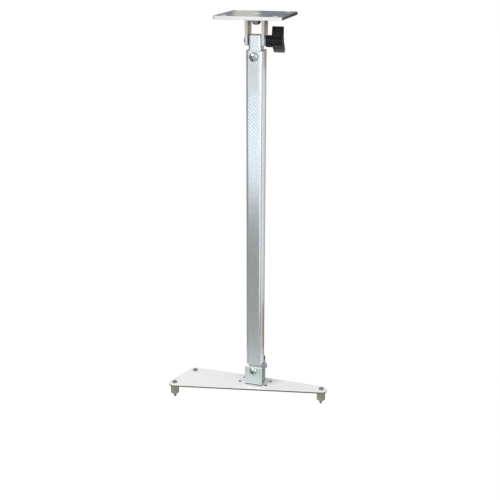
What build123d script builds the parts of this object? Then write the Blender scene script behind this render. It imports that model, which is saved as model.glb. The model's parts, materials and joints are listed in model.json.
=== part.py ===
from build123d import *
import os
from math import cos, radians, sin, tan

# Projector ceiling mount: ceiling plate, tilting square pole and projector plate.
# The origin is the centre of the ceiling plate's upper face, +Z is up and the mount hangs below it.
# +X runs along the tilt bolt, from its head to its knob, and -Y is the front. Sizes are in millimetres.

# Fits: radial gaps round bolts, and gaps between faces that slide on each other
running_clearance = 0.08
free_clearance = 0.2
thread_clearance = 0.05
washer_clearance = 0.3
neck_clearance = 0.15
leg_clearance = 0.3
countersink_clearance = 0.05

# Ceiling plate
ceiling_side = 95.25
ceiling_thickness = 4.5
ceiling_corner_radius = 2.0
ceiling_edge_chamfer = 0.4
ceiling_hole_inset = 12.0
ceiling_hole_diameter = 6.6
ceiling_hole_chamfer = 0.5

# Bolts and lock nuts, all of one thread
bolt_diameter = 6.35
bolt_tip_chamfer = 0.7
bolt_stick_out = 0.4
truss_head_diameter = 13.6
truss_head_height = 3.8
truss_head_rim = 0.8
flat_head_diameter = 12.0
flat_head_angle = 82.0
flat_head_sink = 0.2
bolt_recess_length = 6.6
bolt_recess_width = 1.5
bolt_recess_depth = 2.3
recess_taper = 12.0
nut_across_flats = 11.1
nut_height = 5.6
nut_corner_drop = 0.8
nut_collar_height = 1.7
nut_collar_wall = 1.7

# Pole and the two necks, square tubes that fit into each other
pole_side = 25.4
pole_wall = 3.0
pole_length = 502.0
pole_corner_radius = 5.0
pole_bore_radius = 1.2
neck_wall = 2.6
neck_corner_ease = 2.6
neck_bore_radius = 1.0
neck_reach = 8.4
neck_insertion = 32.0
tube_end_chamfer = 0.4

# Upper bracket, a short piece of thick channel
upper_wall = 4.2
upper_depth = 20.0
upper_height = 37.6
upper_pivot_inset = 5.9
upper_outer_radius = 1.5
upper_inner_radius = 1.0
upper_leg_radius = 1.0
upper_pole_gap = 12.2
neck_bolt_inset = 8.6

# Lower bracket, a bent strap
lower_strap = 3.2
lower_width = 28.6
lower_height = 34.2
lower_pivot_inset = 8.0
lower_bend_radius = 1.0
lower_leg_radius = 1.2
lower_pole_gap = 12.9
neck_screw_inset = 15.0
neck_screw_bite = 2.0

# Wing knobs, their washers and the bushes moulded into them
washer_diameter = 14.6
washer_thickness = 1.2
knob_boss_diameter = 16.4
knob_boss_length = 7.3
knob_hub_diameter = 15.0
knob_head_length = 15.6
knob_wing_reach = 20.0
knob_wing_sweep = 130.0
knob_wing_root = 11.0
knob_wing_tip = 6.6
knob_tip_radius = 1.9
knob_root_radius = 2.0
knob_edge_radius = 1.0
upper_knob_turn = 138.0
lower_knob_turn = 156.0
bush_diameter = 9.4
bush_length = 16.0
bolt_engagement = 14.5

# Projector plate: three fixing points round the bracket and two pairs of small holes beside it
plate_span = 239.6
plate_left_reach = 128.8
plate_front_reach = 40.0
rear_point_inset = 20.3
rear_point_back = 5.0
right_point_back = 7.5
projector_plate_thickness = 3.2
projector_plate_margin = 9.6
projector_plate_chamfer = 0.4
outer_hole_x = 24.5
outer_hole_y = 6.6
inner_hole_x = 20.0
inner_hole_y = -7.2
small_hole_diameter = 5.4

# Screws and spacers at the fixing points
screw_thread_diameter = 4.0
screw_shank_diameter = 3.5
screw_hole_diameter = 4.5
screw_head_diameter = 7.8
screw_head_height = 2.8
screw_head_rim = 1.4
screw_recess_length = 4.2
screw_recess_width = 1.0
screw_recess_depth = 1.5
screw_tip_chamfer = 0.5
screw_stud_length = 8.0
spacer_diameter = 14.0
spacer_length = 16.0
spacer_chamfer = 0.5

# Sizes that follow
bolt_radius = bolt_diameter / 2
running_radius = bolt_radius + running_clearance
free_radius = bolt_radius + free_clearance
nut_bore_radius = bolt_radius + thread_clearance
pole_bore = pole_side - 2 * pole_wall
neck_side = pole_bore - 2 * neck_clearance
neck_bore = neck_side - 2 * neck_wall
leg_gap = neck_side + 2 * leg_clearance
upper_width = leg_gap + 2 * upper_wall
lower_depth = leg_gap + 2 * lower_strap
knob_grip = washer_thickness + bolt_engagement

# Levels, from the ceiling down
upper_web_top = -ceiling_thickness
upper_web_bottom = upper_web_top - upper_wall
tilt_level = upper_web_top - upper_height + upper_pivot_inset
pole_top = tilt_level - upper_pole_gap
neck_bolt_level = pole_top - neck_bolt_inset
pole_bottom = pole_top - pole_length
neck_screw_level = pole_bottom + neck_screw_inset
roll_level = pole_bottom - lower_pole_gap
lower_leg_top = roll_level + lower_pivot_inset
plate_top = lower_leg_top - lower_height
lower_web_top = plate_top + lower_strap
plate_bottom = plate_top - projector_plate_thickness

# Planes across the bolts' axes
tilt_plane = Plane(origin=(0, 0, tilt_level), x_dir=(0, 0, 1), z_dir=(1, 0, 0))
neck_bolt_plane = Plane(origin=(0, 0, neck_bolt_level), x_dir=(1, 0, 0), z_dir=(0, -1, 0))
neck_screw_plane = Plane(origin=(0, 0, neck_screw_level), x_dir=(1, 0, 0), z_dir=(0, 1, 0))
roll_plane = Plane(origin=(0, 0, roll_level), x_dir=(1, 0, 0), z_dir=(0, -1, 0))


def axial_plane(seat):
    """Plane through a turned piece's axis: x is the radius, y runs out along the axis."""
    return Plane(origin=seat.origin, x_dir=seat.x_dir, z_dir=-seat.y_dir)


def cross_outline(face, length, width):
    """Outline of a cross recess on the top of a head."""
    with BuildSketch(face) as cross:
        Rectangle(length, width)
        Rectangle(width, length)
    return cross.sketch


def truss_bolt(seat, length):
    """Bolt with a wide, low head on its seat and a cross recess."""
    head_radius = truss_head_diameter / 2
    recess = cross_outline(seat.offset(truss_head_height), bolt_recess_length, bolt_recess_width)
    with BuildPart() as bolt:
        with BuildSketch(axial_plane(seat)):
            with BuildLine():
                Polyline((0, truss_head_height), (0, -length), (bolt_radius - bolt_tip_chamfer, -length),
                         (bolt_radius, bolt_tip_chamfer - length), (bolt_radius, 0),
                         (head_radius, 0), (head_radius, truss_head_rim))
                TangentArc((0, truss_head_height), (head_radius, truss_head_rim), tangent=(1, 0))
            make_face()
        revolve(axis=Axis(seat.origin, seat.z_dir))
        extrude(recess, amount=-bolt_recess_depth, taper=recess_taper, mode=Mode.SUBTRACT)
    return bolt


def pan_screw(seat, grip):
    """Small screw with a pan head on its seat, a plain shank through the grip and a threaded stud below."""
    head_radius = screw_head_diameter / 2
    shank_radius = screw_shank_diameter / 2
    thread_radius = screw_thread_diameter / 2
    length = grip + screw_stud_length
    recess = cross_outline(seat.offset(screw_head_height), screw_recess_length, screw_recess_width)
    with BuildPart() as screw:
        with BuildSketch(axial_plane(seat)):
            with BuildLine():
                Polyline((0, screw_head_height), (0, -length), (thread_radius - screw_tip_chamfer, -length),
                         (thread_radius, screw_tip_chamfer - length), (thread_radius, -grip),
                         (shank_radius, -grip), (shank_radius, 0),
                         (head_radius, 0), (head_radius, screw_head_rim))
                TangentArc((0, screw_head_height), (head_radius, screw_head_rim), tangent=(1, 0))
            make_face()
        revolve(axis=Axis(seat.origin, seat.z_dir))
        extrude(recess, amount=-screw_recess_depth, taper=recess_taper, mode=Mode.SUBTRACT)
    return screw


def lock_nut(seat):
    """Hexagon nut on its seat, with a round collar over its locking ring."""
    flat_radius = nut_across_flats / 2
    corner_radius = flat_radius / cos(radians(30))
    hex_height = nut_height - nut_collar_height
    axis = Axis(seat.origin, seat.z_dir)
    with BuildPart() as nut:
        with BuildSketch(seat):
            RegularPolygon(flat_radius, 6, major_radius=False)
        extrude(amount=hex_height)
        with BuildSketch(axial_plane(seat)):
            Polygon((0, 0), (flat_radius, 0), (corner_radius, nut_corner_drop),
                    (corner_radius, hex_height - nut_corner_drop), (flat_radius, hex_height),
                    (0, hex_height), align=None)
        revolve(axis=axis, mode=Mode.INTERSECT)
        with BuildSketch(seat.offset(hex_height)):
            Circle(bolt_radius + nut_collar_wall)
        extrude(amount=nut_collar_height)
        fillet(nut.faces().sort_by(axis)[-1].edges(), radius=nut_collar_height / 2)
        with BuildSketch(seat):
            Circle(nut_bore_radius)
        extrude(amount=nut_height, mode=Mode.SUBTRACT)
    return nut


def flat_washer(seat):
    """Plain washer lying on its seat."""
    with BuildPart() as washer:
        with BuildSketch(seat):
            Circle(washer_diameter / 2)
            Circle(bolt_radius + washer_clearance, mode=Mode.SUBTRACT)
        extrude(amount=washer_thickness)
    return washer


def wing_knob(seat):
    """Moulded knob on its seat, with z out along the bolt and x along the first of its two wings.

    Its boss carries the head, a round hub with two wings that are swept to one side, so that a thumb
    and a finger push behind them. A blind bore holds the bush.
    """
    axis = Axis(seat.origin, seat.z_dir)
    with BuildPart() as knob:
        with BuildSketch(seat.offset(knob_boss_length)) as head:
            Circle(knob_hub_diameter / 2)
            with PolarLocations(0, 2, angular_range=knob_wing_sweep, endpoint=True):
                Polygon((0, -knob_wing_root / 2), (knob_wing_reach, -knob_wing_tip / 2),
                        (knob_wing_reach, knob_wing_tip / 2), (0, knob_wing_root / 2), align=None)
            fillet(head.vertices().sort_by_distance((0, 0))[-4:], radius=knob_tip_radius)
            fillet(head.vertices().sort_by_distance((0, 0))[:4], radius=knob_root_radius)
        extrude(amount=knob_head_length)
        fillet(knob.faces().filter_by(axis).edges(), radius=knob_edge_radius)
        with BuildSketch(seat):
            Circle(knob_boss_diameter / 2)
        extrude(amount=knob_boss_length)
        with BuildSketch(seat):
            Circle(bush_diameter / 2)
        extrude(amount=bush_length, mode=Mode.SUBTRACT)
    return knob


def knob_bush(seat):
    """Threaded bush that fills a knob's bore."""
    with BuildPart() as bush:
        with BuildSketch(seat):
            Circle(bush_diameter / 2)
            Circle(running_radius, mode=Mode.SUBTRACT)
        extrude(amount=bush_length)
    return bush


def neck_tube(top, length, pivot, fastener, fastener_radius, through):
    """Square inner tube hanging from its top plane, drilled for its pivot bolt and for its fastener."""
    with BuildPart() as neck:
        with BuildSketch(top):
            RectangleRounded(neck_side, neck_side, pole_bore_radius + neck_corner_ease)
            RectangleRounded(neck_bore, neck_bore, neck_bore_radius, mode=Mode.SUBTRACT)
        extrude(amount=-length)
        chamfer(neck.faces().filter_by(Axis.Z).wires().sort_by(SortBy.LENGTH)[-2:].edges(),
                length=tube_end_chamfer)
        with BuildSketch(pivot):
            Circle(running_radius)
        extrude(amount=neck_side, both=True, mode=Mode.SUBTRACT)
        with BuildSketch(fastener):
            Circle(fastener_radius)
        extrude(amount=neck_side, both=through, mode=Mode.SUBTRACT)
    return neck


# Ceiling plate: flat, with a hole near each corner and a countersunk hole for the swivel bolt
ceiling_hole_spacing = ceiling_side - 2 * ceiling_hole_inset
head_flare = tan(radians(flat_head_angle / 2))
countersink_radius = flat_head_diameter / 2 + (flat_head_sink + countersink_clearance) * head_flare
with BuildPart() as ceiling_plate:
    with BuildSketch():
        RectangleRounded(ceiling_side, ceiling_side, ceiling_corner_radius)
    extrude(amount=-ceiling_thickness)
    chamfer(ceiling_plate.faces().filter_by(Axis.Z).edges(), length=ceiling_edge_chamfer)
    with GridLocations(ceiling_hole_spacing, ceiling_hole_spacing, 2, 2):
        Hole(ceiling_hole_diameter / 2)
    chamfer(ceiling_plate.edges(Select.LAST).filter_by(GeomType.CIRCLE), length=ceiling_hole_chamfer)
    CounterSinkHole(free_radius, countersink_radius, counter_sink_angle=flat_head_angle)

# Swivel bolt: its flat head lies in the ceiling plate and the upper bracket turns on its shank
swivel_head = Plane.XY.offset(-flat_head_sink)
flat_head_depth = (flat_head_diameter / 2 - bolt_radius) / head_flare
swivel_length = ceiling_thickness + upper_wall + nut_height + bolt_stick_out - flat_head_sink
with BuildPart() as swivel_bolt:
    with BuildSketch(axial_plane(swivel_head)):
        Polygon((0, 0), (0, -swivel_length), (bolt_radius - bolt_tip_chamfer, -swivel_length),
                (bolt_radius, bolt_tip_chamfer - swivel_length), (bolt_radius, -flat_head_depth),
                (flat_head_diameter / 2, 0), align=None)
    revolve(axis=Axis.Z)
    extrude(cross_outline(swivel_head, bolt_recess_length, bolt_recess_width),
            amount=-bolt_recess_depth, taper=recess_taper, mode=Mode.SUBTRACT)

swivel_nut = lock_nut(Plane(origin=(0, 0, upper_web_bottom), x_dir=(1, 0, 0), z_dir=(0, 0, -1)))

# Upper bracket: an inverted U, its web against the ceiling plate and its legs either side of the neck
with BuildPart() as upper_bracket:
    with BuildSketch(Plane.XZ.offset(-upper_depth / 2)) as channel:
        with Locations((0, upper_web_top)):
            Rectangle(upper_width, upper_height, align=(Align.CENTER, Align.MAX))
        fillet(channel.vertices().group_by(Axis.Y)[-1], radius=upper_outer_radius)
        with Locations((0, upper_web_bottom)):
            Rectangle(leg_gap, upper_height, align=(Align.CENTER, Align.MAX), mode=Mode.SUBTRACT)
        fillet(channel.vertices(Select.LAST).group_by(Axis.Y)[-1], radius=upper_inner_radius)
    extrude(amount=upper_depth)
    fillet(upper_bracket.faces().sort_by(Axis.Z)[:2].edges().filter_by(Axis.X), radius=upper_leg_radius)
    with BuildSketch(tilt_plane):
        Circle(free_radius)
    extrude(amount=upper_width, both=True, mode=Mode.SUBTRACT)
    with BuildSketch(Plane.XY.offset(upper_web_top)):
        Circle(running_radius)
    extrude(amount=-upper_wall, mode=Mode.SUBTRACT)

# Tilt bolt: its head is on the left leg, and the washer and knob that clamp it are on the right leg
left_leg = Plane(origin=(-upper_width / 2, 0, tilt_level), x_dir=(0, 0, 1), z_dir=(-1, 0, 0))
right_leg = tilt_plane.offset(upper_width / 2)
upper_wing = (0, sin(radians(upper_knob_turn)), cos(radians(upper_knob_turn)))
upper_knob_seat = Plane(origin=right_leg.offset(washer_thickness).origin, x_dir=upper_wing, z_dir=(1, 0, 0))
tilt_bolt = truss_bolt(left_leg, upper_width + knob_grip)
upper_knob_washer = flat_washer(right_leg)
upper_knob = wing_knob(upper_knob_seat)
upper_knob_bush = knob_bush(upper_knob_seat)

# Upper neck: turns on the tilt bolt and goes down into the pole, where a bolt runs through both
upper_neck_length = neck_reach + upper_pole_gap + neck_insertion
upper_neck = neck_tube(Plane.XY.offset(tilt_level + neck_reach), upper_neck_length,
                       tilt_plane, neck_bolt_plane, free_radius, True)
upper_neck_bolt = truss_bolt(neck_bolt_plane.offset(pole_side / 2), pole_side + nut_height + bolt_stick_out)
upper_neck_nut = lock_nut(Plane(origin=(0, pole_side / 2, neck_bolt_level), x_dir=(1, 0, 0), z_dir=(0, 1, 0)))

# Pole: square tube, drilled through for the neck bolt and, in its rear wall, for the neck screw
with BuildPart() as pole:
    with BuildSketch(Plane.XY.offset(pole_top)):
        RectangleRounded(pole_side, pole_side, pole_corner_radius)
        RectangleRounded(pole_bore, pole_bore, pole_bore_radius, mode=Mode.SUBTRACT)
    extrude(amount=-pole_length)
    chamfer(pole.faces().filter_by(Axis.Z).wires().sort_by(SortBy.LENGTH)[-2:].edges(),
            length=tube_end_chamfer)
    with BuildSketch(neck_bolt_plane):
        Circle(free_radius)
    extrude(amount=pole_side, both=True, mode=Mode.SUBTRACT)
    with BuildSketch(neck_screw_plane):
        Circle(free_radius)
    extrude(amount=pole_side, mode=Mode.SUBTRACT)

# Lower neck: held in the pole's lower end by a short screw from behind, it carries the roll bolt
lower_neck_length = neck_insertion + lower_pole_gap + neck_reach
lower_neck = neck_tube(Plane.XY.offset(pole_bottom + neck_insertion), lower_neck_length,
                       roll_plane, neck_screw_plane, nut_bore_radius, False)
neck_screw_length = pole_wall + neck_clearance + neck_wall + neck_screw_bite
lower_neck_screw = truss_bolt(neck_screw_plane.offset(pole_side / 2), neck_screw_length)

# Lower bracket: a bent strap, its legs before and behind the lower neck and its web on the plate
with BuildPart() as lower_bracket:
    with BuildSketch(Plane.YZ.offset(-lower_width / 2)) as strap:
        with Locations((0, plate_top)):
            Rectangle(lower_depth, lower_height, align=(Align.CENTER, Align.MIN))
        fillet(strap.vertices().group_by(Axis.Y)[0], radius=lower_bend_radius + lower_strap)
        with Locations((0, lower_web_top)):
            Rectangle(leg_gap, lower_height, align=(Align.CENTER, Align.MIN), mode=Mode.SUBTRACT)
        fillet(strap.vertices(Select.LAST).group_by(Axis.Y)[0], radius=lower_bend_radius)
    extrude(amount=lower_width)
    fillet(lower_bracket.faces().sort_by(Axis.Z)[-2:].edges().filter_by(Axis.Y), radius=lower_leg_radius)
    with BuildSketch(roll_plane):
        Circle(free_radius)
    extrude(amount=lower_depth, both=True, mode=Mode.SUBTRACT)
    with BuildSketch(Plane.XY.offset(plate_top)):
        Circle(free_radius)
    extrude(amount=lower_strap, mode=Mode.SUBTRACT)

# Roll bolt: its head is on the front leg, and its washer and knob are behind the rear leg
lower_wing = (sin(radians(lower_knob_turn)), 0, cos(radians(lower_knob_turn)))
rear_leg = Plane(origin=(0, lower_depth / 2, roll_level), x_dir=lower_wing, z_dir=(0, 1, 0))
lower_knob_seat = rear_leg.offset(washer_thickness)
roll_bolt = truss_bolt(roll_plane.offset(lower_depth / 2), lower_depth + knob_grip)
lower_knob_washer = flat_washer(rear_leg)
lower_knob = wing_knob(lower_knob_seat)
lower_knob_bush = knob_bush(lower_knob_seat)

# Projector plate: the hull of round pads at its three fixing points, turning on the plate bolt
fixing_points = [
    (-plate_left_reach, -plate_front_reach),
    (rear_point_inset - plate_left_reach, rear_point_back),
    (plate_span - plate_left_reach, right_point_back),
]
with BuildPart() as projector_plate:
    with BuildSketch(Plane.XY.offset(plate_bottom)):
        with Locations(*fixing_points):
            Circle(projector_plate_margin)
        make_hull()
    extrude(amount=projector_plate_thickness)
    chamfer(projector_plate.faces().filter_by(Axis.Z).edges(), length=projector_plate_chamfer)
    with BuildSketch(Plane.XY.offset(plate_bottom)):
        Circle(running_radius)
        with Locations(*fixing_points):
            Circle(screw_hole_diameter / 2)
        with PolarLocations(0, 2):
            with Locations((outer_hole_x, outer_hole_y), (inner_hole_x, inner_hole_y)):
                Circle(small_hole_diameter / 2)
    extrude(amount=projector_plate_thickness, mode=Mode.SUBTRACT)

# Plate bolt: from below through plate and bracket web, into a lock nut inside the bracket
under_plate = Plane(origin=(0, 0, plate_bottom), x_dir=(1, 0, 0), z_dir=(0, 0, -1))
plate_bolt = truss_bolt(under_plate, projector_plate_thickness + lower_strap + nut_height + bolt_stick_out)
plate_nut = lock_nut(Plane.XY.offset(lower_web_top))

pieces = {
    "ceiling_plate": ceiling_plate,
    "swivel_bolt": swivel_bolt,
    "swivel_nut": swivel_nut,
    "upper_bracket": upper_bracket,
    "tilt_bolt": tilt_bolt,
    "upper_knob_washer": upper_knob_washer,
    "upper_knob": upper_knob,
    "upper_knob_bush": upper_knob_bush,
    "upper_neck": upper_neck,
    "upper_neck_bolt": upper_neck_bolt,
    "upper_neck_nut": upper_neck_nut,
    "pole": pole,
    "lower_neck": lower_neck,
    "lower_neck_screw": lower_neck_screw,
    "lower_bracket": lower_bracket,
    "roll_bolt": roll_bolt,
    "lower_knob_washer": lower_knob_washer,
    "lower_knob": lower_knob,
    "lower_knob_bush": lower_knob_bush,
    "projector_plate": projector_plate,
    "plate_bolt": plate_bolt,
    "plate_nut": plate_nut,
}

# A spacer under the plate and a screw down through both at each fixing point
screw_grip = projector_plate_thickness + spacer_length
for place, (x, y) in zip(("front_left", "rear_left", "right"), fixing_points):
    with BuildPart() as spacer:
        with BuildSketch(Plane(origin=(x, y, plate_bottom))):
            Circle(spacer_diameter / 2)
        extrude(amount=-spacer_length)
        chamfer(spacer.faces().filter_by(Axis.Z).edges(), length=spacer_chamfer)
        with BuildSketch(Plane(origin=(x, y, plate_bottom))):
            Circle(screw_hole_diameter / 2)
        extrude(amount=-spacer_length, mode=Mode.SUBTRACT)
    pieces[f"spacer_{place}"] = spacer
    pieces[f"screw_{place}"] = pan_screw(Plane(origin=(x, y, plate_top)), screw_grip)

os.makedirs("parts", exist_ok=True)
for name, piece in pieces.items():
    piece.part.label = name
    export_step(piece.part, f"parts/{name}.step")
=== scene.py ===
import json
import math

import bpy
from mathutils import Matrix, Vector


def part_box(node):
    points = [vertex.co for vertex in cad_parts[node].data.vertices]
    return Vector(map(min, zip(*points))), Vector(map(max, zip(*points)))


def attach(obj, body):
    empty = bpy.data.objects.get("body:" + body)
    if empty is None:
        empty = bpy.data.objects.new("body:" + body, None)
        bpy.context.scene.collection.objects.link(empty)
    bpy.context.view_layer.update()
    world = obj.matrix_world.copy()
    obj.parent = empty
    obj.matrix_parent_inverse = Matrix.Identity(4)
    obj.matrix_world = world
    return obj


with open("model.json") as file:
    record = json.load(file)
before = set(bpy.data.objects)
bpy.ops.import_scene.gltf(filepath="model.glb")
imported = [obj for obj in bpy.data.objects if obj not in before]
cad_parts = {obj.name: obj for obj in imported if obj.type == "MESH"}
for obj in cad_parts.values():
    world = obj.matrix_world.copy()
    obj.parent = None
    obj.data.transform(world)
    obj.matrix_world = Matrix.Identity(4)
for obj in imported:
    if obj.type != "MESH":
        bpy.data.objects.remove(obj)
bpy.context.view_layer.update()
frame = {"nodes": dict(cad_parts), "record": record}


# Ceiling plate.
# A square of thick aluminium bar, rolled, sawn to length and drilled, with a countersunk hole in its
# middle. Screws through its corners hold it up against the ceiling.
class Tone:
    """A socket of a finish's node tree. Sums and products of tones add the nodes that work them out."""

    def __init__(self, tree, socket=None):
        self.tree = tree
        self.socket = socket

    def node(self, kind, settings, sockets, output=0):
        """Adds a node of a type: its settings first, then the values or links of its sockets."""
        made = self.tree.nodes.new(kind)
        for name, value in settings.items():
            setattr(made, name, value)
        for name, value in sockets.items():
            if isinstance(value, Tone):
                self.tree.links.new(value.socket, made.inputs[name])
            else:
                made.inputs[name].default_value = value
        return Tone(self.tree, made.outputs[output])

    def maths(self, operation, first, second=0.0):
        return self.node("ShaderNodeMath", {"operation": operation}, {0: first, 1: second})

    def __add__(self, other):
        return self.maths("ADD", self, other)

    def __sub__(self, other):
        return self.maths("SUBTRACT", self, other)

    def __rsub__(self, other):
        return self.maths("SUBTRACT", other, self)

    def __mul__(self, other):
        return self.maths("MULTIPLY", self, other)

    __radd__ = __add__
    __rmul__ = __mul__

    def __abs__(self):
        return self.maths("ABSOLUTE", self)

    def most(self, other):
        return self.maths("MAXIMUM", self, other)

    def root(self):
        return self.maths("SQRT", self)

    def wave(self, pitch):
        """Even ripples between 0 and 1, one to each pitch."""
        return self.maths("SINE", self * (2 * math.pi / pitch)) * 0.5 + 0.5

    def rise(self, low, high):
        """0 below low, 1 above high and a smooth rise between them."""
        return self.node("ShaderNodeMapRange", {"interpolation_type": "SMOOTHSTEP"},
                         {"Value": self, "From Min": low, "From Max": high})

    def fall(self, low, high):
        """1 below low, 0 above high and a smooth fall between them."""
        return 1 - self.rise(low, high)


class Finish:
    """One material: its shader, the places on the object that its patterns read, and its colours."""

    def __init__(self, name, **constants):
        self.material = bpy.data.materials.new(name)
        self.material.use_nodes = True
        self.tree = self.material.node_tree
        self.shader = self.tree.nodes["Principled BSDF"]
        self.place = Tone(self.tree).node("ShaderNodeTexCoord", {}, {}, output="Object")
        split = self.place.node("ShaderNodeSeparateXYZ", {}, {"Vector": self.place}).socket.node
        self.x, self.y, self.z = [Tone(self.tree, socket) for socket in split.outputs]
        for socket, value in constants.items():
            self.shader.inputs[socket.replace("_", " ")].default_value = value

    def noise(self, scale, detail=3.0):
        """Grain with so many grains to a metre, or along each axis where scale has three numbers."""
        place = self.place
        if isinstance(scale, tuple):
            place = place.node("ShaderNodeMapping", {}, {"Vector": place, "Scale": scale})
            scale = 1.0
        return place.node("ShaderNodeTexNoise", {"noise_dimensions": "3D"},
                          {"Vector": place, "Scale": scale, "Detail": detail, "Roughness": 0.55})

    def lines(self, along, pitch):
        """Uneven lines across a direction, about one to each pitch."""
        return along.node("ShaderNodeTexNoise", {"noise_dimensions": "1D"},
                          {"W": along * (1 / pitch), "Scale": 1.0, "Detail": 2.0, "Roughness": 0.6})

    def mix(self, factor, first, second):
        """The first colour where the factor is 0, the second where it is 1."""
        return factor.node("ShaderNodeMix", {"data_type": "RGBA"}, {0: factor, 6: first, 7: second}, output=2)

    def feed(self, socket, tone):
        self.tree.links.new(tone.socket, self.shader.inputs[socket])

    def bump(self, height, strength, depth):
        """Raises the surface by a height map, with the depth in metres."""
        self.feed("Normal", height.node("ShaderNodeBump", {}, {"Height": height, "Strength": strength,
                                                               "Distance": depth}))

    def dress(self, *names):
        """Puts the finish on solids of the mount."""
        for name in names:
            for slot in frame["nodes"][name].material_slots:
                slot.material = self.material


millimetre = 0.001
ceiling_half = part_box("ceiling_plate")[1].x
ceiling_bolts = next(mount["dims"] for mount in frame["record"]["mounts"] if mount["name"] == "ceiling_bolts")
ceiling_hole_place = ceiling_bolts["spacing_x_mm"] / 2 * millimetre
rim_width = 0.6 * millimetre
ceiling_hole_rim = ceiling_bolts["hole_r_mm"] * millimetre + rim_width
rim_blend = 0.3 * millimetre
sawn_edge = (ceiling_half - 0.5 * millimetre, ceiling_half - 0.1 * millimetre)
aluminium_pale = (0.76, 0.76, 0.755, 1)
aluminium_grey = (0.60, 0.605, 0.615, 1)
aluminium_sawn = (0.86, 0.86, 0.86, 1)
aluminium_drilled = (0.86, 0.86, 0.85, 1)
rolled = Finish("rolled_aluminium", Metallic=1.0)
roll_lines = rolled.noise((25, 1100, 1100), detail=4.0)
stains = rolled.noise(55.0)
scratches = rolled.noise((14, 1700, 1700), detail=1.0).rise(0.62, 0.72)
saw_lines = rolled.noise((1500, 1500, 120), detail=2.0)
sawn = abs(rolled.x).most(abs(rolled.y)).rise(*sawn_edge)
across = abs(rolled.x) - ceiling_hole_place
along = abs(rolled.y) - ceiling_hole_place
from_hole = (across * across + along * along).root()
drilled = from_hole.fall(ceiling_hole_rim, ceiling_hole_rim + rim_blend)
rolled_tone = rolled.mix(roll_lines * 0.6 + stains * 0.4, aluminium_grey, aluminium_pale)
rolled_tone = rolled.mix(sawn, rolled_tone, aluminium_sawn)
rolled.feed("Base Color", rolled.mix(drilled.most(scratches * 0.5), rolled_tone, aluminium_drilled))
rolled.feed("Roughness", 0.11 + roll_lines * 0.07 + stains * 0.05 + sawn * 0.03 + drilled * 0.3)
plate_relief = roll_lines * (1 - sawn) + saw_lines * sawn * 1.5 - scratches * 0.3
rolled.bump(plate_relief, strength=0.12, depth=0.05 * millimetre)
rolled.dress("ceiling_plate")

# Swivel bolt and its lock nut.
# A countersunk bolt of plated steel, its head faced bright, hangs the bracket from the ceiling plate.
# The nut's zinc is olive, and painted darker than its plating, a painted shade for the dark under the
# web that it mirrors. A ring of white nylon is rolled into its collar, so that it stays where
# it is set and the bracket can turn.
faced_pale = (0.88, 0.89, 0.885, 1)
faced_grey = (0.70, 0.71, 0.71, 1)
faced_zinc = Finish("faced_zinc", Metallic=1.0)
facing_marks = faced_zinc.noise(900.0)
faced_zinc.feed("Base Color", faced_zinc.mix(facing_marks, faced_pale, faced_grey))
faced_zinc.feed("Roughness", 0.34 + facing_marks * 0.16)
faced_zinc.bump(facing_marks, strength=0.2, depth=0.05 * millimetre)
faced_zinc.dress("swivel_bolt")

# Painted shade: both olive tones are darker than the plating, for the dark that the nuts sit in and mirror.
olive_dark = (0.15, 0.17, 0.15, 1)
olive_pale = (0.34, 0.37, 0.335, 1)
olive_rim = (0.38, 0.42, 0.38, 1)
olive_zinc = Finish("olive_zinc", Metallic=1.0, Specular_Tint=olive_rim)
patches = olive_zinc.noise(420.0)
tumbled = olive_zinc.noise(2200.0, detail=2.0)
olive_zinc.feed("Base Color", olive_zinc.mix(patches.rise(0.35, 0.7), olive_dark, olive_pale))
olive_zinc.feed("Roughness", 0.22 + tumbled * 0.2)
olive_zinc.bump(tumbled, strength=0.2, depth=0.04 * millimetre)
olive_zinc.dress("swivel_nut")

ring_white = (0.72, 0.72, 0.68, 1)
ring_grey = (0.55, 0.55, 0.51, 1)
ring_nylon = Finish("ring_nylon")
ring_marks = ring_nylon.noise(900.0)
ring_nylon.feed("Base Color", ring_nylon.mix(ring_marks, ring_grey, ring_white))
ring_nylon.feed("Roughness", 0.4 + ring_marks * 0.15)
ring_nylon.bump(ring_marks, strength=0.15, depth=0.04 * millimetre)

ring_radius = 3.52 * millimetre
ring_section = (0.44 * millimetre, 0.20 * millimetre)
smooth_angle = math.radians(40)
weld_distance = 1e-6


def wound(name, corners, section, radius, pitch, turns, steps):
    """A section wound round the Z axis: a closed ring where the pitch is 0, or else a thread's ridge.

    The section has so many corners, and its two sizes are half its width and half its height."""
    bpy.ops.object.select_all(action="DESELECT")
    bpy.ops.mesh.primitive_circle_add(vertices=corners, radius=1, location=(radius, 0, 0),
                                      rotation=(math.pi / 2, math.pi / 2, 0))
    piece = bpy.context.object
    piece.name = name
    piece.scale = (section[1], section[0], 1)
    bpy.ops.object.transform_apply(location=True, rotation=True, scale=True)
    bpy.ops.object.modifier_add(type="SCREW")
    winding = piece.modifiers[-1]
    winding.axis = "Z"
    winding.screw_offset = pitch
    winding.iterations = turns
    winding.steps = steps
    winding.render_steps = steps
    winding.use_merge_vertices = pitch == 0
    winding.merge_threshold = weld_distance
    bpy.ops.object.modifier_apply(modifier=winding.name)
    bpy.ops.object.mode_set(mode="EDIT")
    bpy.ops.mesh.select_all(action="SELECT")
    bpy.ops.mesh.remove_doubles(threshold=weld_distance)
    bpy.ops.mesh.fill_holes(sides=corners)
    bpy.ops.mesh.normals_make_consistent(inside=False)
    bpy.ops.object.mode_set(mode="OBJECT")
    bpy.ops.object.shade_smooth_by_angle(angle=smooth_angle)
    return piece


def set_in_place(piece, place, axis, finish):
    """Turns a piece from the Z axis to its own, moves it to its place and gives it its finish."""
    bpy.ops.object.select_all(action="DESELECT")
    piece.select_set(True)
    bpy.context.view_layer.objects.active = piece
    piece.rotation_mode = "QUATERNION"
    piece.rotation_quaternion = Vector((0, 0, 1)).rotation_difference(Vector(axis))
    piece.location = place
    bpy.ops.object.transform_apply(location=True, rotation=True, scale=True)
    piece.data.materials.append(finish.material)


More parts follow.
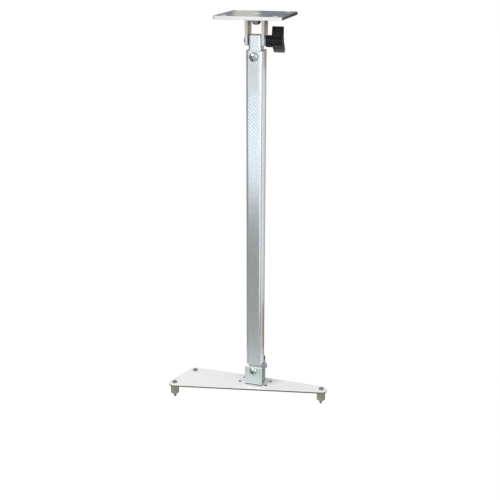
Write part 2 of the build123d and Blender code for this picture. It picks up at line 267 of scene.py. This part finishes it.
def locking_ring(nut, outward, body):
    """The nylon ring that shows at the end of a nut's collar, round the bolt."""
    low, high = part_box(nut)
    ring = wound(nut + "_ring", corners=14, section=ring_section, radius=ring_radius, pitch=0, turns=1,
                 steps=56)
    middle = (low + high) / 2
    outward = Vector(outward)
    end = middle + outward * abs(outward.dot(high - low)) / 2
    set_in_place(ring, end, outward, ring_nylon)
    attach(ring, body)


locking_ring("swivel_nut", (0, 0, -1), "ceiling")

# Upper bracket.
# A slice of extruded aluminium channel that hangs from the swivel bolt by its web. Its sides keep the
# die's lines and are painted darker brown towards the front, a painted shade for the brown that they
# mirror there, and its sawn ends face front and back.
bracket_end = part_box("upper_bracket")[1].y
bracket_end_edge = (bracket_end - 0.35 * millimetre, bracket_end - 0.05 * millimetre)
tarnish_fade = (-12 * millimetre, 8 * millimetre)
saw_arc_slope = 0.35
saw_arc_pitch = 0.35 * millimetre
channel_grey = (0.58, 0.58, 0.575, 1)
channel_tarnished = (0.30, 0.27, 0.25, 1)
channel_end_grey = (0.57, 0.575, 0.575, 1)
channel_end_pale = (0.72, 0.72, 0.71, 1)
channel = Finish("extruded_aluminium", Metallic=1.0)
die_lines = channel.noise((1400, 18, 1400), detail=4.0)
smears = channel.noise(130.0)
saw_arcs = channel.lines(channel.x + channel.z * saw_arc_slope, saw_arc_pitch)
end_face = abs(channel.y).rise(*bracket_end_edge)
# Painted shade: the sides turn darker brown towards the front.
tarnish = channel.y.fall(*tarnish_fade) * (0.4 + smears * 0.4)
side_tone = channel.mix(die_lines * 0.6 + smears * 0.4, channel_grey, aluminium_pale)
side_tone = channel.mix(tarnish, side_tone, channel_tarnished)
end_tone = channel.mix(saw_arcs, channel_end_grey, channel_end_pale)
channel.feed("Base Color", channel.mix(end_face, side_tone, end_tone))
channel.feed("Roughness", 0.15 + die_lines * 0.1 + smears * 0.06 + end_face * (0.1 + saw_arcs * 0.12))
channel_relief = die_lines * (1 - end_face) + saw_arcs * end_face * 1.2
channel.bump(channel_relief, strength=0.14, depth=0.05 * millimetre)
channel.dress("upper_bracket")

# Tilt bolt and washer.
# A truss-head bolt of zinc-plated steel, gone dark with oil, goes through both legs and the neck. The
# washer still has its clear zinc, and lets the knob turn without marking the leg.
oiled_dark = (0.035, 0.045, 0.038, 1)
oiled_pale = (0.17, 0.19, 0.17, 1)
oiled_rim = (0.12, 0.14, 0.125, 1)
oiled_zinc = Finish("oiled_zinc", Metallic=1.0, Specular_Tint=oiled_rim)
oil_patches = oiled_zinc.noise(330.0)
oil_grain = oiled_zinc.noise(2200.0, detail=2.0)
oiled_zinc.feed("Base Color", oiled_zinc.mix(oil_patches.rise(0.4, 0.65), oiled_dark, oiled_pale))
oiled_zinc.feed("Roughness", 0.18 + oil_grain * 0.16)
oiled_zinc.bump(oil_grain, strength=0.2, depth=0.04 * millimetre)
oiled_zinc.dress("tilt_bolt")

zinc_blue = (0.50, 0.57, 0.575, 1)
zinc_straw = (0.50, 0.55, 0.525, 1)
zinc_dull = (0.12, 0.165, 0.16, 1)
zinc = Finish("clear_zinc", Metallic=1.0)
cast = zinc.noise(240.0, detail=2.0)
dull_spots = zinc.noise(420.0).rise(0.48, 0.68)
pickled = zinc.noise(2600.0, detail=2.0)
zinc.feed("Base Color", zinc.mix(dull_spots * 0.7, zinc.mix(cast, zinc_blue, zinc_straw), zinc_dull))
zinc.feed("Roughness", 0.13 + pickled * 0.12 + dull_spots * 0.14)
zinc.bump(pickled, strength=0.15, depth=0.03 * millimetre)
zinc.dress("upper_knob_washer")

# Wing knobs.
# Moulded in black glass-filled nylon round a turned brass bush, in a mould with a fine spark grain.
# Handling has greyed them in patches, and the lower wing of the upper one is painted a lighter brown-grey,
# a painted highlight for the light it catches from below.
knob_low, knob_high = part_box("upper_knob")
# Painted highlight: a lighter brown-grey patch on the lower wing of the upper knob, for the light it catches
# from below.
dust_x = knob_high.x - 6 * millimetre
dust_y = knob_high.y - 2 * millimetre
dust_z = knob_low.z + 1 * millimetre
dust_fade = (7 * millimetre, 14 * millimetre)
dust_flatness = 0.3
knob_black = (0.006, 0.007, 0.008, 1)
knob_grey = (0.020, 0.016, 0.0155, 1)
knob_dust = (0.10, 0.088, 0.082, 1)
knob_sheen = (0.72, 0.86, 1, 1)
moulding = Finish("black_nylon", Specular_IOR_Level=0.22, Specular_Tint=knob_sheen)
spark_grain = moulding.noise(1700.0, detail=2.0)
handled = moulding.noise(110.0)
flow = moulding.noise(260.0, detail=2.0)
dust_across = moulding.x - dust_x
dust_along = moulding.y - dust_y
dust_above = moulding.z - dust_z
dust_square = dust_across * dust_across * dust_flatness + dust_along * dust_along + dust_above * dust_above
from_dust = dust_square.root()
dusty = from_dust.fall(*dust_fade) * (0.7 + flow * 0.5)
knob_tone = moulding.mix(handled.rise(0.42, 0.75), knob_black, knob_grey)
moulding.feed("Base Color", moulding.mix(dusty, knob_tone, knob_dust))
moulding.feed("Roughness", 0.30 + handled * 0.18 + spark_grain * 0.1)
moulding.bump(spark_grain + flow * 0.6, strength=0.22, depth=0.06 * millimetre)
moulding.dress("upper_knob", "lower_knob")

brass_dark = (0.60, 0.44, 0.18, 1)
brass_pale = (0.74, 0.58, 0.27, 1)
brass = Finish("turned_brass", Metallic=1.0)
turning = brass.noise(800.0)
brass.feed("Base Color", brass.mix(turning, brass_dark, brass_pale))
brass.feed("Roughness", 0.2 + turning * 0.15)
brass.bump(turning, strength=0.1, depth=0.04 * millimetre)
brass.dress("upper_knob_bush", "lower_knob_bush")

# Upper neck and its plug.
# A short length of square steel tube that slides into the pole's top. Its zinc is bright and finely
# speckled, where it took on the scoured steel, and a plug of white nylon closes its upper end.
neck_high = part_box("upper_neck")[1]
neck_wall = 2.6 * millimetre
neck_bore = neck_high.x - neck_wall
neck_inner_edge = (neck_bore + 0.1 * millimetre, neck_bore + 0.4 * millimetre)
neck_pale = (0.84, 0.895, 0.93, 1)
neck_grey = (0.64, 0.675, 0.69, 1)
neck_inside = (0.86, 0.87, 0.87, 1)
tube_zinc = Finish("bright_zinc_tube")
speckle = tube_zinc.noise(1300.0, detail=2.0).rise(0.5, 0.72)
neck_drawn = tube_zinc.noise((900, 900, 14))
inside = abs(tube_zinc.x).most(abs(tube_zinc.y)).fall(*neck_inner_edge)
neck_tone = tube_zinc.mix(speckle * 0.6 + neck_drawn * 0.25, neck_pale, neck_grey)
tube_zinc.feed("Base Color", tube_zinc.mix(inside, neck_tone, neck_inside))
tube_zinc.feed("Metallic", 1 - inside * 0.75)
tube_zinc.feed("Roughness", 0.2 + speckle * 0.12 + neck_drawn * 0.08 + inside * 0.3)
tube_zinc.bump(speckle * 0.5 + neck_drawn, strength=0.1, depth=0.03 * millimetre)
tube_zinc.dress("upper_neck")

plug_clearance = 0.02 * millimetre
plug_corner = 2.2 * millimetre
plug_depth = 2.6 * millimetre
plug_easing = 0.25 * millimetre
plug_sink = 0.1 * millimetre
plug_top = neck_high.z - plug_sink
bpy.ops.object.select_all(action="DESELECT")
bpy.ops.mesh.primitive_plane_add(size=2 * (neck_bore - plug_clearance), location=(0, 0, plug_top))
plug = bpy.context.object
plug.name = "neck_plug"
bpy.ops.object.transform_apply(location=True, rotation=True, scale=True)
bpy.ops.object.mode_set(mode="EDIT")
bpy.ops.mesh.select_all(action="SELECT")
bpy.ops.mesh.bevel(affect="VERTICES", offset=plug_corner, segments=6)
bpy.ops.mesh.select_all(action="SELECT")
bpy.ops.mesh.extrude_region_move(TRANSFORM_OT_translate={"value": (0, 0, -plug_depth)})
bpy.ops.mesh.select_all(action="SELECT")
bpy.ops.mesh.normals_make_consistent(inside=False)
bpy.ops.object.mode_set(mode="OBJECT")
bpy.ops.object.modifier_add(type="BEVEL")
easing = plug.modifiers[-1]
easing.width = plug_easing
easing.segments = 3
easing.angle_limit = math.radians(60)
bpy.ops.object.modifier_apply(modifier=easing.name)
bpy.ops.object.shade_smooth_by_angle(angle=smooth_angle)
plug.data.materials.append(ring_nylon.material)
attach(plug, "drop_pole")

# Pole and lower neck.
# One length of one-inch square steel tube, galvanised before it was rolled and welded, with a smaller
# one in its foot. Slanting lines from the rolls show on its upper half, a duller grey band lies on its front
# and back just above them, a strip of one side is brown, and its ends are sawn bare.
pole_low, pole_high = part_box("pole")
pole_middle = (pole_low.z + pole_high.z) / 2
pole_half = (pole_high.z - pole_low.z) / 2
pole_end_edge = (pole_half - 0.5 * millimetre, pole_half)
hatch_pitch = 5.5 * millimetre
hatch_grain = 1.3 * millimetre
hatch_start = (40 * millimetre, 60 * millimetre)
hatch_end = (80 * millimetre, 240 * millimetre)
hatch_side = (7.5 * millimetre, 9.5 * millimetre)
worn_start = (8 * millimetre, 22 * millimetre)
worn_end = (48 * millimetre, 66 * millimetre)
worn_side = (5 * millimetre, 8.5 * millimetre)
seam_face = (10 * millimetre, 11 * millimetre)
seam_front = (0.5 * millimetre, 3.5 * millimetre)
seam_back = (10.5 * millimetre, 12 * millimetre)
galvanised_pale = (0.82, 0.90, 0.955, 1)
galvanised_grey = (0.67, 0.735, 0.78, 1)
hatch_bright = (0.86, 0.93, 0.95, 1)
hatch_grey = (0.40, 0.48, 0.52, 1)
worn_grey = (0.60, 0.64, 0.64, 1)
seam_brown = (0.20, 0.165, 0.15, 1)
bare_steel = (0.55, 0.55, 0.55, 1)
galvanised = Finish("galvanised_tube", Metallic=1.0)
crystals = galvanised.place.node("ShaderNodeTexVoronoi", {"feature": "F1"},
                                 {"Vector": galvanised.place, "Scale": 420.0}, output="Color")
spangle = crystals.node("ShaderNodeSeparateColor", {}, {"Color": crystals}, output="Red")
drawn = galvanised.noise((900, 900, 7))
streaks = galvanised.noise((160, 160, 9))
uneven = 0.6 + galvanised.noise(22.0) * 0.6
slant = galvanised.x + galvanised.y + galvanised.z
hatch = galvanised.lines(slant, hatch_grain) * 0.3 + slant.wave(hatch_pitch) * 0.7
off_middle = abs(galvanised.x)
from_top = pole_high.z - galvanised.z
hatched = from_top.rise(*hatch_start) * from_top.fall(*hatch_end) * off_middle.fall(*hatch_side) * uneven
worn = from_top.rise(*worn_start) * from_top.fall(*worn_end) * off_middle.fall(*worn_side) * uneven
seam = galvanised.x.rise(*seam_face) * galvanised.y.rise(*seam_front) * galvanised.y.fall(*seam_back)
sawn_end = abs(galvanised.z - pole_middle).rise(*pole_end_edge)
tube_tone = galvanised.mix(spangle * 0.18 + drawn * 0.3 + streaks * 0.3, galvanised_pale, galvanised_grey)
tube_tone = galvanised.mix(hatched * 0.85, tube_tone, galvanised.mix(hatch, hatch_bright, hatch_grey))
tube_tone = galvanised.mix(worn, tube_tone, worn_grey)
tube_tone = galvanised.mix(seam * 0.8, tube_tone, seam_brown)
rolled_in = hatch * hatched
galvanised.feed("Base Color", galvanised.mix(sawn_end, tube_tone, bare_steel))
galvanised.feed("Roughness", 0.21 + spangle * 0.03 + drawn * 0.06 + rolled_in * 0.1 + sawn_end * 0.15)
galvanised.bump(drawn * 0.5 + rolled_in * 1.4 + spangle * 0.1, strength=0.1, depth=0.04 * millimetre)
galvanised.dress("pole", "lower_neck")

# Neck bolt, its nut and the neck screw.
# The bolt goes right through the pole and the upper neck into a lock nut behind. A short screw from
# behind holds the lower neck. Both are steel with clear zinc.
zinc.dress("upper_neck_bolt", "lower_neck_screw")
olive_zinc.dress("upper_neck_nut")
locking_ring("upper_neck_nut", (0, 1, 0), "drop_pole")

# Lower bracket.
# A strap of steel bent to a U and zinc plated afterwards, which leaves it a pale, slightly green satin.
# The tops of its legs are painted near white and matte, a painted highlight for the light they catch, the
# foot of the bends is painted near black, a painted shadow in the crease against the plate, and the plate
# bolt holds it by its web.
strap_low, strap_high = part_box("lower_bracket")
strap_height = strap_high.z - strap_low.z
strap_bend = (2.0 * millimetre, 3.4 * millimetre)
strap_shade = (9 * millimetre, strap_height)
strap_cut = (strap_height - 0.7 * millimetre, strap_height - 0.2 * millimetre)
strap_metal = 0.85
strap_pale = (0.86, 0.95, 0.97, 1)
strap_green = (0.60, 0.70, 0.69, 1)
strap_stain = (0.06, 0.08, 0.08, 1)
strap_bright = (0.96, 0.98, 0.98, 1)
strap = Finish("satin_zinc_strap")
strap_cloud = strap.noise(90.0)
strap_grain = strap.noise((1500, 1500, 60))
strap_dots = strap.noise(1500.0, detail=1.0).rise(0.58, 0.7)
from_foot = strap.z - strap_low.z
# Painted shadow: the bends darken to near black at the foot.
bend = from_foot.fall(*strap_bend)
shaded = from_foot.rise(*strap_shade)
# Painted highlight: the tops of the legs turn near white and matte.
cut_end = from_foot.rise(*strap_cut)
greenness = strap_cloud * 0.4 + strap_grain * 0.2 + strap_dots * 0.1 + shaded * 0.45
strap_tone = strap.mix(greenness, strap_pale, strap_green)
strap_tone = strap.mix(bend * 0.92, strap_tone, strap_stain)
strap.feed("Base Color", strap.mix(cut_end, strap_tone, strap_bright))
strap.feed("Metallic", strap_metal - cut_end * strap_metal)
strap.feed("Roughness", 0.30 + strap_cloud * 0.08 + strap_grain * 0.1)
strap.bump(strap_grain + strap_dots * 0.5, strength=0.12, depth=0.04 * millimetre)
strap.dress("lower_bracket")

# Roll bolt and washer.
# The same truss-head bolt as above, still bright, through the strap's legs and the lower neck. Its
# knob and washer clamp the strap from behind.
zinc.dress("roll_bolt", "lower_knob_washer")

# Projector plate.
# Sheet steel, powder coated off-white. Its edges and the walls of its holes are painted dark brown, a
# painted shade for the dark projector that hangs below it in use, which they mirror and which shows
# through the holes.
plate_low, plate_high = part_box("projector_plate")
plate_middle = (plate_low.z + plate_high.z) / 2
coat_edge = (1.12 * millimetre, 1.3 * millimetre)
paint_white = (0.885, 0.88, 0.88, 1)
paint_shade = (0.835, 0.825, 0.82, 1)
paint_speck = (0.55, 0.51, 0.47, 1)
cut_brown = (0.085, 0.062, 0.05, 1)
cut_grey = (0.16, 0.135, 0.12, 1)
coated = Finish("white_powder_coat")
peel = coated.noise(1000.0)
cloud = coated.noise(22.0)
specks = coated.noise(700.0, detail=1.0).rise(0.72, 0.76)
shear_lines = coated.noise((1600, 1600, 150), detail=2.0)
# Painted shade: the edges and hole walls are dark brown, for the dark projector they face.
cut = abs(coated.z - plate_middle).fall(*coat_edge)
coat_tone = coated.mix(specks * 0.25, coated.mix(cloud, paint_shade, paint_white), paint_speck)
coated.feed("Base Color", coated.mix(cut, coat_tone, coated.mix(shear_lines, cut_brown, cut_grey)))
coated.feed("Roughness", 0.46 + cloud * 0.1 + cut * 0.1)
coated.bump(peel * (1 - cut) + shear_lines * cut * 2, strength=0.16, depth=0.05 * millimetre)
coated.dress("projector_plate")

# Plate bolt and its lock nut.
# The bolt comes up through the plate and the strap's web, and the plate turns on it. The nut inside the
# strap is of the same kind as the one in the upper bracket.
zinc.dress("plate_bolt")
olive_zinc.dress("plate_nut")
locking_ring("plate_nut", (0, 0, 1), "lower_joint")

# Spacers.
# Cut from natural nylon tube, yellowed to an olive beige, and painted far darker than that, a painted
# shadow of the projector that they stand on in use. The lathe that faced them left fine rings, and a screw
# holds each one up against the plate.
parting_pitch = 0.45 * millimetre
# Painted shadow: both tones are far darker than natural nylon.
spacer_pale = (0.29, 0.28, 0.22, 1)
spacer_dark = (0.20, 0.195, 0.15, 1)
tube_nylon = Finish("natural_nylon")
parting_rings = tube_nylon.lines(tube_nylon.z, parting_pitch)
yellowing = tube_nylon.noise(150.0)
spacer_tone = tube_nylon.mix(parting_rings * 0.35 + yellowing * 0.65, spacer_dark, spacer_pale)
tube_nylon.feed("Base Color", spacer_tone)
tube_nylon.feed("Roughness", 0.38 + yellowing * 0.14 + parting_rings * 0.08)
tube_nylon.bump(parting_rings, strength=0.15, depth=0.05 * millimetre)
tube_nylon.dress("spacer_front_left", "spacer_rear_left", "spacer_right")

# Projector screws.
# Pan-head screws of dark steel, cold headed, that go down through the plate and the spacers. A thread
# is rolled on the stud that stands out below each spacer.
ridge_radius = 1.95 * millimetre
ridge_section = (0.17 * millimetre, 0.20 * millimetre)
ridge_pitch = 0.7 * millimetre
ridge_start = 0.9 * millimetre
screw_dark = (0.17, 0.17, 0.17, 1)
screw_pale = (0.36, 0.36, 0.355, 1)
screw_steel = Finish("dark_screw_steel", Metallic=1.0)
headed = screw_steel.noise(700.0)
oiled = screw_steel.noise(2000.0, detail=2.0)
screw_steel.feed("Base Color", screw_steel.mix(headed, screw_dark, screw_pale))
screw_steel.feed("Roughness", 0.24 + oiled * 0.2)
screw_steel.bump(oiled, strength=0.15, depth=0.03 * millimetre)
for place in ("front_left", "rear_left", "right"):
    screw_steel.dress("screw_" + place)
    screw_low, screw_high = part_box("screw_" + place)
    screw_middle = (screw_low + screw_high) / 2
    ridge = wound("thread_" + place, corners=3, section=ridge_section, radius=ridge_radius, pitch=ridge_pitch,
                  turns=9, steps=28)
    ridge_foot = (screw_middle.x, screw_middle.y, screw_low.z + ridge_start)
    set_in_place(ridge, ridge_foot, (0, 0, 1), screw_steel)
    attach(ridge, "arm_plate")

# Floor and surround.
# A pale floor well below the hanging mount and a white room. The camera and the metal see both as
# white, and the floor keeps the mount's soft shadow.
floor_level = -0.95
floor_width = 16
floor_white = 0.93
floor_glow = 1.04
floor_pale = (0.88, 0.88, 0.88, 1)
pure_white = (1, 1, 1, 1)
fill_light = 0.62


def seen_directly(tree):
    """1 where the camera looks at a surface itself or in a mirror, and 0 where the surface gives light."""
    rays = Tone(tree).node("ShaderNodeLightPath", {}, {}).socket.node
    camera_ray, glossy_ray, clear_ray = [
        Tone(tree, rays.outputs[name]) for name in ("Is Camera Ray", "Is Glossy Ray", "Is Transmission Ray")]
    return camera_ray + glossy_ray + clear_ray


bpy.ops.object.select_all(action="DESELECT")
bpy.ops.mesh.primitive_plane_add(size=floor_width, location=(0, 0, floor_level))
floor = bpy.context.object
floor.name = "floor"
floor_paper = Finish("floor_paper", Base_Color=floor_pale, Roughness=0.9)
white = floor_paper.place.node("ShaderNodeEmission", {}, {"Color": pure_white, "Strength": floor_glow})
paper = Tone(floor_paper.tree, floor_paper.shader.outputs[0])
shown = seen_directly(floor_paper.tree) * floor_white
blended = paper.node("ShaderNodeMixShader", {}, {0: shown, 1: paper, 2: white})
floor_paper.tree.links.new(blended.socket, floor_paper.tree.nodes["Material Output"].inputs["Surface"])
floor.data.materials.append(floor_paper.material)

room = bpy.data.worlds.new("white_room")
bpy.context.scene.world = room
room.use_nodes = True
room_light = room.node_tree.nodes["Background"]
room_light.inputs["Color"].default_value = pure_white
room_level = fill_light + seen_directly(room.node_tree) * (1 - fill_light)
room.node_tree.links.new(room_level.socket, room_light.inputs["Strength"])

# Cards.
# Boards of dark and tinted paper round the mount, which only show as reflections in its metal, so that
# its edges and sides stand out from the white room. One of them glows, and lights up the pole's upper
# half in the same way.
to_right = (1, 0, 0)
to_left = (-1, 0, 0)
to_back = (0, 1, 0)
to_front = (0, -1, 0)
to_back_left = (-0.6, 0.8, 0)
upwards = (0, 0, 1)
black = (0.02, 0.02, 0.02, 1)
soot = (0.08, 0.075, 0.07, 1)
bottle_green = (0.05, 0.06, 0.055, 1)
night_blue = (0.05, 0.075, 0.11, 1)
charcoal = (0.20, 0.20, 0.20, 1)
slate = (0.23, 0.255, 0.285, 1)
lead_grey = (0.37, 0.38, 0.39, 1)
stone = (0.51, 0.485, 0.44, 1)
ash_grey = (0.60, 0.61, 0.62, 1)
sand = (0.68, 0.66, 0.61, 1)
brick_red = (0.48, 0.32, 0.26, 1)
wood_brown = (0.44, 0.35, 0.29, 1)
shell_pink = (0.80, 0.74, 0.71, 1)
cream = (0.95, 0.95, 0.94, 1)
sky_white = (0.94, 0.97, 1, 1)


def card(name, centre, size, facing, colour, glow=0.0):
    """A board that only mirrors see, with its middle at centre and its front turned to facing."""
    bpy.ops.object.select_all(action="DESELECT")
    bpy.ops.mesh.primitive_plane_add(size=1, location=centre)
    board = bpy.context.object
    board.name = name
    board.scale = (size[0], size[1], 1)
    board.rotation_mode = "QUATERNION"
    board.rotation_quaternion = Vector(facing).to_track_quat("Z", "Y")
    board.visible_camera = False
    board.visible_diffuse = False
    board.visible_shadow = False
    board_paper = Finish(name + "_paper", Base_Color=colour, Roughness=0.9, Emission_Color=colour,
                         Emission_Strength=glow)
    board.data.materials.append(board_paper.material)


card("front_card", (-0.17, -0.6, -0.6985), (0.7, 0.473), to_back, stone)
card("bright_card", (-0.17, -0.6, -0.315), (0.7, 0.17), to_back, sky_white, glow=0.75)
card("left_card", (-0.6, -0.6, -0.35), (1.6, 1.3), to_right, lead_grey)
card("left_foot", (-0.65, -0.15, -0.94), (0.7, 0.8), upwards, charcoal)
card("right_card", (0.7, -0.05, -0.25), (0.6, 1.1), to_left, ash_grey)
card("blue_card", (0.36, -0.48, -0.8475), (0.32, 0.195), to_back_left, night_blue)
card("right_foot", (0.7, -0.05, -0.875), (0.6, 0.15), to_left, soot)
card("behind_card", (-0.32, 0.6, -0.075), (0.61, 0.19), to_front, bottle_green)
card("dark_card", (0.26, 0.5, 0.043), (0.42, 0.215), to_front, black)
card("brown_card", (0.26, 0.5, -0.11), (0.42, 0.09), to_front, wood_brown)
card("pink_card", (0.26, 0.5, -0.4275), (0.42, 0.545), to_front, shell_pink)
card("red_card", (0.26, 0.5, -0.77), (0.42, 0.14), to_front, brick_red)
card("foot_card", (0.26, 0.5, -0.89), (0.42, 0.10), to_front, cream)
card("wall_right", (-0.33, 1.5, 0.45), (0.17, 0.9), to_front, slate)
card("wall_middle", (-0.46, 1.52, 0.45), (0.12, 0.9), to_front, sand)
card("wall_left", (-0.62, 1.5, 0.45), (0.23, 0.9), to_front, slate)

# Lamps.
# A large soft box at the left front gives most of the light, and a narrow one at the right front draws
# the bright line down the pole's corner. Both point at the pole's middle.
lamp_target = Vector((0, 0, -0.3))


def lamp(name, place, width, height, power):
    light = bpy.data.lights.new(name, "AREA")
    light.shape = "RECTANGLE"
    light.size = width
    light.size_y = height
    light.energy = power
    soft_box = bpy.data.objects.new(name, light)
    bpy.context.scene.collection.objects.link(soft_box)
    soft_box.location = place
    soft_box.rotation_mode = "QUATERNION"
    soft_box.rotation_quaternion = (lamp_target - Vector(place)).to_track_quat("-Z", "Y")


lamp("key_light", place=(-1.1, -1.4, 1.1), width=1.2, height=1.2, power=30)
lamp("strip_light", place=(1.0, -1.2, 0.2), width=0.35, height=1.4, power=3.5)

# Camera.
# At the photograph's place: in front of the mount and to its right, a little above the ceiling plate,
# and looking down.
camera_place = Vector((0.2890, -1.0244, 0.0892))
camera_azimuth = math.radians(16.23)
camera_pitch = math.radians(22.487)
camera_sensor = 36
camera_lens = 53.37
camera_data = bpy.data.cameras.new("camera")
camera_data.sensor_width = camera_sensor
camera_data.lens = camera_lens
camera = bpy.data.objects.new("camera", camera_data)
bpy.context.scene.collection.objects.link(camera)
camera.location = camera_place
sight = Vector((-math.sin(camera_azimuth) * math.cos(camera_pitch),
                math.cos(camera_azimuth) * math.cos(camera_pitch), -math.sin(camera_pitch)))
camera.rotation_mode = "QUATERNION"
camera.rotation_quaternion = sight.to_track_quat("-Z", "Y")
bpy.context.scene.camera = camera
bpy.context.scene.view_settings.view_transform = "Standard"
